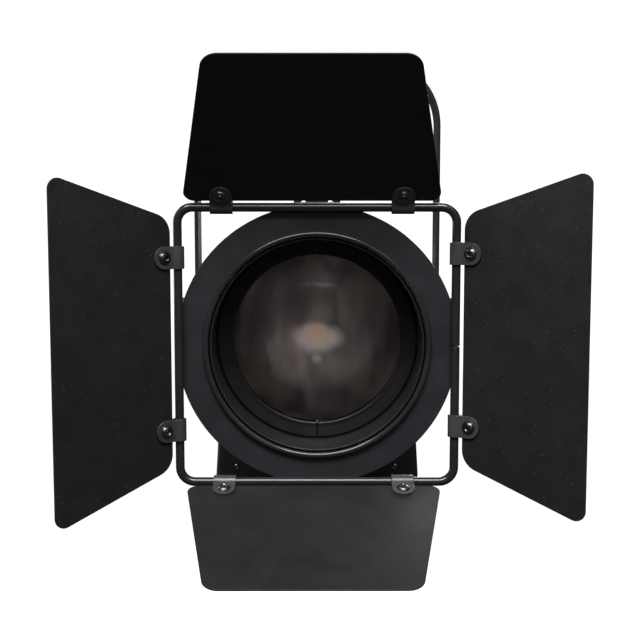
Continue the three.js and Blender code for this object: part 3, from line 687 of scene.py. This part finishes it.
def lens_barrel():
    inner = BARREL_R - BARREL_WALL
    tube = lathe([
        (inner, -146.4), (inner + 0.5, -147.2, 0.3), (BARREL_R - 0.3, -147.2, 0.3),
        (BARREL_R, -146, 0.4), (BARREL_R, -129.4), (FLANGE_R, -129.4, 0.4), (FLANGE_R, -127.4, 0.4),
        (BARREL_R, -127.4, 0.6), (BARREL_R, -50), (inner, -50),
    ], 144)
    slot = plate([rectangle(36.8, 6.8, 3.39, FOCUS_Y - 5, 0, 8)], 60, 80, 0.05, IN_YZ)
    piece("barrel_tube", carved(tube, [slot]), "fixture", COAT, ["lens_barrel"],
          bevel=0.25)


def horseshoe(outer, inner, top):
    return [*arc(0, 0, outer, math.pi, math.tau, 72), (outer, top), (inner, top),
            *arc(0, 0, inner, math.tau, math.pi, 72), (-inner, top), (-outer, top)]


def accessory_holder():
    bore = circle(BARREL_R + 0.35, sides=120)
    layers = [
        plate([circle(HOLDER_R, sides=120), bore], -131.7, -129.7, 0.35),
        plate([horseshoe(HOLDER_R, 84.5, 28)], -134.1, -131.5, 0.2),
        plate([horseshoe(HOLDER_R, 81.5, 28)], -136, -134, 0.35),
        plate([rectangle(24, 16, 2, 0, 82)], -131.6, -129.8, 0.2),
    ]
    lug = [*arc(LATCH_Y, LATCH_Z, 3.6, -0.6, math.pi / 2, 10), (-131.6, 98.6), (-131.6, 86), (-121.5, 86)]
    pin_hole = circle(2.25, LATCH_Y, LATCH_Z, 24)
    layers += [plate([lug, pin_hole], *ends, 0.2, IN_YZ) for ends in ((-12, -9), (9, 12))]
    piece("holder", joined(*layers), "fixture", COAT, ["accessory_holder"])
    angles = [math.radians(degrees) for degrees in (200, 340, 45, 135)]
    places = [(82 * math.cos(t), -129.7, 82 * math.sin(t)) for t in angles]
    screws("holder_screws", places, 2.4, 1.4, "fixture", aim=turn("Z", 180))


def retaining_latch():
    face = plate([rectangle(31, 18.9, 1.2, 0, 91.25)], -136.2, -134.5, 0.45)
    ear = rounded([(-127, 92, 1.5), (-121, 92, 1.5), (-121, 98.6, 2.5), (-127, 100.4, 0.3)])
    ears = [plate([ear], *ends, 0.3, IN_YZ) for ends in ((-15.5, -12.4), (12.4, 15.5))]
    pin = placed(disc(2, -15.9, 15.9, 0.4, 32), move(0, LATCH_Y, LATCH_Z) @ TO_RIGHT)
    latch = joined(face, *ears, pin, latch_bridge())
    piece("latch", latch, "retaining_latch", COAT, ["retaining_latch"])
    places = [(-9, -136.1, 94.6), (9, -136.1, 94.6)]
    screws("latch_screws", places, 2.6, 1.3, "retaining_latch", finish=STEEL)


def latch_bridge():
    """The latch's top plate, lying flat between its face and its ears."""
    flat = plate([rectangle(31, 12.2, 0.8)], -0.55, 0.55, 0.3)
    return placed(flat, move(0, -130.1, 100.2) @ turn("X", 90))


# ---------------------------------------------------------------- barn doors


def barn_door_disc():
    bead_r = MOUTH_R + 1.9
    bead_y = DISC_FRONT - 1.6
    back = DISC_FRONT + 1.5
    rim = rounded([(DISC_R, back, 0.5), (DISC_R, DISC_FRONT, 0.5), (80, DISC_FRONT), (80, back)], 4)
    mouth = MOUTH_R + 0.3
    profile = [*rim[:-2], (bead_r, DISC_FRONT), (mouth, DISC_FRONT + 0.3), (mouth, back), (78.4, back),
               (78.4, -132), (84, -132), (84, -133.7), (80, -133.7), (80, back)]
    piece("disc_plate", turned(profile, 176), "barn_doors", DISC_COAT, ["barn_door_disc"])
    bead = arc(bead_r, bead_y, 1.9, -math.pi * 1.25, math.pi * 0.45, 24)
    piece("mouth_bead", turned([*bead, (bead_r, DISC_FRONT + 0.4)], 176), "barn_doors", ROD_COAT)


def rod_frame():
    middle = FRAME_HALF - FRAME_BEND
    path = [(FRAME_HALF, 0.15)]
    for quarter in range(4):
        start = quarter * math.pi / 2
        x, z = (middle * math.sqrt(2) * f(start + math.pi / 4) for f in (math.cos, math.sin))
        path += arc(x, z, FRAME_BEND, start, start + math.pi / 2, 12)
    path.append((FRAME_HALF, -0.15))
    rod = placed(pipe(path, ROD_R, 0.35), move(0, FRAME_Y, 0) @ IN_XZ)
    piece("rod_frame", rod, "barn_doors", ROD_COAT, ["barn_door_frame"])


def leaf_plate(shape):
    near, far = shape["rounds"]
    corners = [(-shape["hinge"] / 2, LEAF_START, near), (shape["hinge"] / 2, LEAF_START, near),
               (shape["far"] / 2, shape["length"], far), (-shape["far"] / 2, shape["length"], far)]
    holes = [circle(2.1, x * shape["clips"] / 2, RIVET_AT, 20) for x in (-1, 1)]
    return plate([rounded(corners, 12), *holes], -LEAF_THICK / 2, LEAF_THICK / 2, 0.3)


def clip_strap():
    """A strap wrapped round the rod, with the leaf between its two legs."""
    wrap = ROD_R + 0.3 + STRAP_THICK / 2
    leg = LEAF_THICK / 2 + 0.3 + STRAP_THICK / 2
    end = RIVET_AT + STRAP_WIDTH / 2
    start = math.acos(leg / wrap)
    path = [(leg, end), (leg, 8), (leg, 5), *arc(0, 0, wrap, start, -math.pi - start, 22)[1:-1],
            (-leg, 5), (-leg, 8), (-leg, end)]
    return placed(strip(path, STRAP_WIDTH, STRAP_THICK, 0.3), IN_YZ)


def clip_rivet():
    """A button screw through the strap, with its washer, and its nut behind."""
    seat = LEAF_THICK / 2 + 0.3 + STRAP_THICK
    head = placed(button_screw(4, 1.9), move(0, -seat, 0))
    rim = lathe([(3.6, -seat - 0.35), (4.6, -seat - 0.35, 0.15), (4.6, -seat, 0.15), (3.6, -seat)], 32)
    nut = disc(3.4, seat, seat + 1.2, 0.35, 24, polygon_wave(6, 99))
    shank = disc(1.8, -seat, seat + 1.3, 0.2, 20)
    return joined(head, rim, nut, shank)


def barn_door_leaves():
    for name, leaf in LEAVES.items():
        swing = move(0, FRAME_Y, 0) @ turn("Y", leaf["side"]) @ move(leaf["shift"], 0, FRAME_HALF)
        swing = FIXTURE @ swing @ turn("X", leaf["open"])
        body = f"leaf_{name}"
        piece(f"sheet_{name}", leaf_plate(leaf["shape"]), body, LEAF_COAT, [body], swing)
        for letter, side in (("a", -1), ("b", 1)):
            at = swing @ move(side * leaf["shape"]["clips"] / 2, 0, 0)
            piece(f"strap_{name}_{letter}", clip_strap(), body, CLIP_COAT, [f"clip_{name}_{letter}"],
                  at)
            fixing = placed(clip_rivet(), move(0, 0, RIVET_AT) @ turn("Y", 24 + 67 * side))
            piece(f"fixing_{name}_{letter}", fixing, body, OXIDE, [f"rivet_{name}_{letter}"],
                  at)


# ---------------------------------------------------------------- lenses and focus


def lens_shape(radius, curve, rim, front, sides):
    """A domed lens facing -Y, whose dome starts at front with a straight rim behind it."""
    reach = math.asin(radius / curve)
    angles = [reach * k / 24 for k in range(25)]
    dome = [(curve * math.sin(a), front - curve * (math.cos(a) - math.cos(reach))) for a in angles]
    return turned([*dome, (radius, front + rim), (0, front + rim)], sides)


def lens_train():
    front, back = CARRIER_R, LENS_Y - 1
    tube = lathe([
        (front, LENS_Y - 0.7), (front, -74, 0.4), (49.5, -74, 0.3), (49.5, -76.2), (52.4, -76.2),
        (52.4, -82, 0.3), (66.8, -82), (66.8, -101.9), (57.5, -101.9), (57.5, -104), (60.4, -104),
        (60.4, LENS_Y - 0.7),
    ], 144)
    stud = placed(disc(3, 68, 85, 0.4, 32), move(0, FOCUS_Y, 0) @ TO_RIGHT)
    piece("carriage", joined(tube, stud), "lens_carriage", INSIDE, ["lens_carriage"])
    ring = lathe([
        (59.2, back), (59.2, back - 1.8, 0.5), (59.9, back - 2.3, 0.4), (62.2, back - 2.3, 0.5),
        (69, back - 3.4, 0.7), (front, back - 2.6, 0.4), (front, back),
    ], 168, gap=0.019)
    piece("retaining_ring", ring, "lens_carriage", RING_BLACK, ["lens_ring"])
    screws("ring_screws", [(0, back - 2.6, 62.6), (0.1, back - 2.4, -58.9)], 1.3, 0.7, "lens_carriage")
    domed = lens_shape(LENS_R, 95, 4, LENS_Y, 144)
    piece("front_glass", domed, "lens_carriage", FRONT_GLASS, ["front_lens"])
    steeper = lens_shape(52, 75, 3.2, -79.7, 96)
    # The rear lens carries painted light: its emission and streaked colour paint the glow and reflections
    # seen through the front lens.
    piece("rear_glass", steeper, "lens_carriage", REAR_GLASS_PAINTED_GLOW, ["rear_lens"])
    knob = placed(star_knob(74.5, 13.5, 10.5, 0.7, 8, 11, 3.3), move(0, FOCUS_Y, 0) @ TO_RIGHT)
    piece("focus_grip", knob, "focus_knob", SOFT_GRIP, ["focus_knob"])


# ---------------------------------------------------------------- shutters


def framing_shutters():
    right_edge = [(33, 31.5, 0.6), (33, 58, 2), (22, 72, 2), (9, 80, 3), (9, 104, 1)]
    left_edge = [(-x, z, radius) for x, z, radius in reversed(right_edge)]
    blade = rounded([left_edge[-1], *right_edge, *left_edge[:-1]])
    for name, (y, side) in SHUTTERS.items():
        at = FIXTURE @ move(0, y, 0) @ turn("Y", side)
        body = f"shutter_{name}"
        sheet = plate([blade], -0.6, 0.6, 0.2)
        piece(f"blade_{name}", sheet, body, BLADE, [body], at)
        grip = [plate([rectangle(22, 15, 4, 0, 98.5)], -2.5, 2.5, 1)]
        grip += [plate([rectangle(16, 1.4, 0.6, 0, 94.5 + 2.7 * k)], -2.9, 2.9, 0.5) for k in range(4)]
        piece(f"grip_{name}", joined(*grip), body, SOFT_GRIP, where=at)
    separators = ((-37.4, -34.6), (-32.7, -32.1), (-30.3, -29.7), (-27.9, -27.3), (-25.4, -22.6))
    rings = [plate([circle(60, sides=72), circle(30, sides=48)], *ends, 0.15) for ends in separators]
    piece("shutter_separators", joined(*rings), "fixture", INSIDE)


# ---------------------------------------------------------------- lamp house


def bell(inset):
    """The house's section: round above, flaring downwards."""
    radius = CASTING_R - inset
    bottom = HOUSE_BOTTOM + inset
    foot = (radius - bottom * math.sin(HOUSE_FLARE)) / math.cos(HOUSE_FLARE)
    corner = 14 - inset
    return [
        *arc(0, 0, radius, -HOUSE_FLARE, math.pi + HOUSE_FLARE, 72),
        *arc(corner - foot, bottom + corner, corner, math.pi + HOUSE_FLARE, 1.5 * math.pi, 10),
        *arc(foot - corner, bottom + corner, corner, 1.5 * math.pi, math.tau - HOUSE_FLARE, 10),
    ]


def lofted(sections):
    """A solid through bell sections (inset, y), capped at both ends."""
    vertices, faces = [], []
    for inset, y in sections:
        vertices += [(x, y, z) for x, z in bell(inset)]
    count = len(vertices) // len(sections)
    for i in range(len(sections) - 1):
        for k in range(count):
            n = (k + 1) % count
            faces.append([i * count + k, i * count + n, (i + 1) * count + n, (i + 1) * count + k])
    last = (len(sections) - 1) * count
    faces += [list(range(count))[::-1], list(range(last, last + count))]
    return mesh_of(vertices, faces)


def round_rim(y, depth, way, steps=6):
    """Insets and places for a rounded edge that ends flat at y."""
    angles = [math.pi / 2 * k / steps for k in range(steps + 1)]
    return [(depth * (1 - math.cos(a)), y + way * depth * (1 - math.sin(a))) for a in angles]


def lamp_house():
    front, rear = HOUSE_FRONT, HOUSE_REAR
    outside = [*round_rim(front, 4.5, 1, 8)[::-1], *round_rim(rear, 0.6, -1, 3)]
    inside = [(HOUSE_WALL, front + HOUSE_WALL), (HOUSE_WALL, rear + 1)]
    mouth = turned([(0, front - 1), (56, front - 1), (56, front + 6), (0, front + 6)], 96)
    shell = carved(lofted(outside), [lofted(inside)])
    vents = []
    for i in range(7):
        y = 50 + 11 * i
        for low, high in ((-58, -18), (-14, 26)):
            slot = rectangle(4, high - low, 1.99, y, (low + high) / 2)
            vents.append(plate([slot], -95, 95, 0.01, IN_YZ))
    house = carved(shell, [mouth, *vents])
    piece("house_shell", house, "fixture", HOUSE_COAT, ["lamp_house"], bevel=0.45)
    # Painted shade: a thin dark sheet over the house front inside its rounded rim, darker than the
    # shell's coat, standing for the shadow on the front under the disc; the rim round it keeps the
    # shell's coat.
    clear = turned([(0, front - 2), (77.2, front - 2), (77.2, front + 2), (0, front + 2)], 96)
    panel = carved(lofted([(4.9, front - 0.6), (4.7, front - 0.4), (4.7, front - 0.1)]), [clear])
    piece("house_front_painted_shade", panel, "fixture", INSIDE)
    places = [(-67, front - 0.5, -125.3), (64.5, front - 0.5, -125.3)]
    screws("house_screws", places, 2.7, 1.5, "fixture")


def rear_cover():
    front = HOUSE_REAR + 0.3
    outside = [*round_rim(front, 0.6, 1, 3)[::-1], *round_rim(COVER_REAR, 4, -1, 8)]
    inside = [(HOUSE_WALL + 0.5, front - 1), (HOUSE_WALL + 0.5, COVER_REAR - HOUSE_WALL)]
    shell = carved(lofted(outside), [lofted(inside)])
    tools = []
    for i in range(GRILLE_BARS):
        z = (i - (GRILLE_BARS - 1) // 2) * GRILLE_PITCH
        reach = math.sqrt(GRILLE_R**2 - z**2) + 0.5
        for side in (-1, 1):
            slot = rectangle(reach - 2.5, 4.8, 2.39, side * (reach + 2.5) / 2, FAN_Z + z)
            tools.append(plate([slot], COVER_REAR - 6, COVER_REAR + 2, 0.01))
    tools.append(plate([rectangle(52, 25, 2, 0, DISPLAY_Z)], COVER_REAR - 1.2, COVER_REAR + 2, 0.01))
    for i in range(4):
        spot = circle(4.3, (i - 1.5) * BUTTON_PITCH, BUTTONS_Z, 32)
        tools.append(plate([spot], COVER_REAR - 8, COVER_REAR + 2, 0.01))
    for x in (-SOCKET_PITCH, 0, SOCKET_PITCH):
        tools.append(plate([circle(11.6, x, SOCKETS_Z, 40)], COVER_REAR - 8, COVER_REAR + 2, 0.01))
    cover = carved(shell, tools)
    piece("cover_shell", cover, "fixture", HOUSE_COAT, ["rear_cover"], bevel=0.4)
    ring = lathe([(45, COVER_REAR - 0.3), (46, COVER_REAR + 1, 0.5), (48.5, COVER_REAR + 1, 0.6),
                  (49.5, COVER_REAR - 0.3)], 96)
    piece("grille_ring", placed(ring, move(0, 0, FAN_Z)), "fixture", HOUSE_COAT)
    places = [(side * x, COVER_REAR, z) for x, z in ((62, 22), (68, -137), (64, -58)) for side in (-1, 1)]
    screws("cover_screws", places, 3, 1.7, "fixture", aim=turn("Z", 180))


def control_panel():
    window = plate([rectangle(51.2, 24.2, 1.8, 0, DISPLAY_Z)], COVER_REAR - 0.9, COVER_REAR + 0.4, 0.3)
    piece("display_glass", window, "fixture", WINDOW, ["display_window"])
    bezel = plate([rectangle(57, 30, 3, 0, DISPLAY_Z), rectangle(52.4, 25.4, 2, 0, DISPLAY_Z)],
                  COVER_REAR - 0.2, COVER_REAR + 0.9, 0.35)
    piece("display_bezel", bezel, "fixture", PLASTIC)
    for i in range(4):
        inner, step = COVER_REAR - 6.3, COVER_REAR - 4.4
        cap = rounded([(0, inner), (5.4, inner, 0.2), (5.4, step, 0.2), (4, step),
                       (4, COVER_REAR + 1.9, 1), (0, COVER_REAR + 1.5)])
        button = placed(turned(cap, 48), move((i - 1.5) * BUTTON_PITCH, 0, BUTTONS_Z))
        body = f"menu_button_{i + 1}"
        piece(f"button_cap_{i + 1}", button, body, SOFT_GRIP, [body])


def socket(name, x, mouth, blades):
    """A panel socket: square flange, deep round mouth with a post, and its contacts."""
    face = COVER_REAR + 2.2
    back = COVER_REAR - 22
    outlines = [rectangle(26, 31, 3, 0, SOCKETS_Z), circle(mouth, 0, SOCKETS_Z, 64)]
    flange = plate(outlines, COVER_REAR + 0.3, face, 0.4)
    well = lathe([(mouth, face - 0.3), (11.2, face - 0.6), (11.2, back), (0, back), (0, face - 14),
                  (mouth, face - 14)], 64)
    thick = mouth * 0.42
    post = rounded([(0, face - 14.2), (thick, face - 14.2), (thick, face - 0.8, 0.6), (0, face - 0.8)])
    inner = [placed(item, move(0, 0, SOCKETS_Z)) for item in (well, turned(post, 40))]
    shell = placed(joined(flange, *inner), move(x, 0, 0))
    piece(f"{name}_shell", shell, "fixture", PLASTIC, [name])
    contacts = []
    for i in range(blades):
        angle = math.tau * (i + 0.5) / blades
        at = move(x + mouth * 0.7 * math.sin(angle), 0, SOCKETS_Z + mouth * 0.7 * math.cos(angle))
        contacts.append(placed(disc(0.9, face - 14, face - 3, 0.4, 16), at))
    piece(f"{name}_contacts", joined(*contacts), "fixture", STEEL)
    places = [(x + sx * 9.8, face - 0.1, SOCKETS_Z + sz * 12.3) for sx, sz in ((-1, 1), (1, -1))]
    screws(f"{name}_screws", places, 1.9, 1, "fixture", aim=turn("Z", 180))


def safety_eye():
    base = CASTING_R + 0.3
    foot = rounded([(0, base), (6, base, 0.2), (6, base + 3, 0.7), (3, base + 3.2, 0.8), (3, base + 7),
                    (0, base + 7)])
    stem = placed(turned(foot, 48), turn("X", 90))
    ring = [(9 + 2.5 * math.cos(a), 2.5 * math.sin(a)) for a in (math.tau * k / 20 for k in range(20))]
    eye = placed(turned(ring, 64), move(0, 0, base + 13.5))
    bolt = placed(joined(stem, eye), move(0, 62, 0))
    piece("eye_bolt", bolt, "fixture", STEEL, ["safety_eye"])


def repaint_inner_nodes():
    """CAD nodes whose shapes stay as they are, mostly out of sight, get worked finishes."""
    finishes = {
        "pivot_stud_left": STEEL, "pivot_stud_right": STEEL, "gate_plate": INSIDE, "reflector": MIRROR,
        "led_module": PHOSPHOR, "heat_sink": ALUMINIUM, "fan_frame": PLASTIC, "fan_rotor": PLASTIC,
        "power_supply": ALUMINIUM,
    }
    for name, finish in finishes.items():
        for material_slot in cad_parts[name].material_slots:
            material_slot.material = finish


# ---------------------------------------------------------------- floor, lights and camera


def floor():
    mesh = mesh_of([(-6, -6, -1.15), (6, -6, -1.15), (6, 6, -1.15), (-6, 6, -1.15)], [(0, 1, 2, 3)])
    ground = bpy.data.objects.new("floor", mesh)
    bpy.context.scene.collection.objects.link(ground)
    material = bpy.data.materials.new("pale_floor")
    material.use_nodes = True
    shader = material.node_tree.nodes["Principled BSDF"]
    shader.inputs["Base Color"].default_value = (0.9, 0.9, 0.9, 1)
    shader.inputs["Roughness"].default_value = 0.9
    shader.inputs["Emission Color"].default_value = (1, 1, 1, 1)
    shader.inputs["Emission Strength"].default_value = 0.95
    mesh.materials.append(material)
    ground.visible_diffuse = False
    ground.visible_glossy = False


def surroundings(ambient):
    """White to the camera, and a dim even light on the object."""
    world = bpy.data.worlds.new("studio")
    world.use_nodes = True
    tree = world.node_tree
    background = tree.nodes["Background"]
    path = tree.nodes.new("ShaderNodeLightPath")
    strength = tree.nodes.new("ShaderNodeMapRange")
    strength.inputs["To Min"].default_value = ambient
    strength.inputs["To Max"].default_value = 1.15
    tree.links.new(path.outputs["Is Camera Ray"], strength.inputs["Value"])
    tree.links.new(strength.outputs["Result"], background.inputs["Strength"])
    background.inputs["Color"].default_value = (1, 1, 1, 1)
    bpy.context.scene.world = world
    bpy.context.scene.view_settings.view_transform = "Standard"


def soft_light(name, place, target, size, power):
    data = bpy.data.lights.new(name, "AREA")
    data.shape = "RECTANGLE"
    data.size, data.size_y = size
    data.energy = power
    lamp = bpy.data.objects.new(name, data)
    lamp.location = place
    lamp.rotation_euler = (Vector(target) - Vector(place)).to_track_quat("-Z", "Y").to_euler()
    bpy.context.scene.collection.objects.link(lamp)


def lights():
    middle = (0, -0.05, -0.2)
    soft_light("overhead", (-0.15, -1.15, 1.22), middle, (1.5, 0.6), 42)
    soft_light("front_fill", (0.3, -2.2, 0.8), middle, (1.4, 1.0), 2.5)
    soft_light("right_fill", (1.0, -0.9, 1.1), middle, (0.7, 0.7), 1.5)
    soft_light("left_edge", (-1.4, 0.7, 0.3), middle, (0.6, 1.4), 12)
    soft_light("back", (0.6, 1.7, 0.6), middle, (1.3, 1.1), 38)


def camera():
    data = bpy.data.cameras.new("camera")
    data.lens = 67.85
    data.sensor_width = 36
    view = bpy.data.objects.new("camera", data)
    view.location = (0, -0.9504, -0.0999)
    view.rotation_euler = (math.radians(83.76), 0, math.radians(-0.14))
    bpy.context.scene.collection.objects.link(view)
    bpy.context.scene.camera = view


camera()
yoke()
tilt_hardware()
shutter_barrel()
lens_barrel()
accessory_holder()
retaining_latch()
barn_door_disc()
rod_frame()
barn_door_leaves()
lens_train()
framing_shutters()
lamp_house()
rear_cover()
control_panel()
socket("power_inlet", -SOCKET_PITCH, 9.5, 3)
socket("data_in_socket", 0, 8.5, 5)
socket("data_out_socket", SOCKET_PITCH, 8.5, 5)
safety_eye()
repaint_inner_nodes()
floor()
surroundings(0.05)
lights()
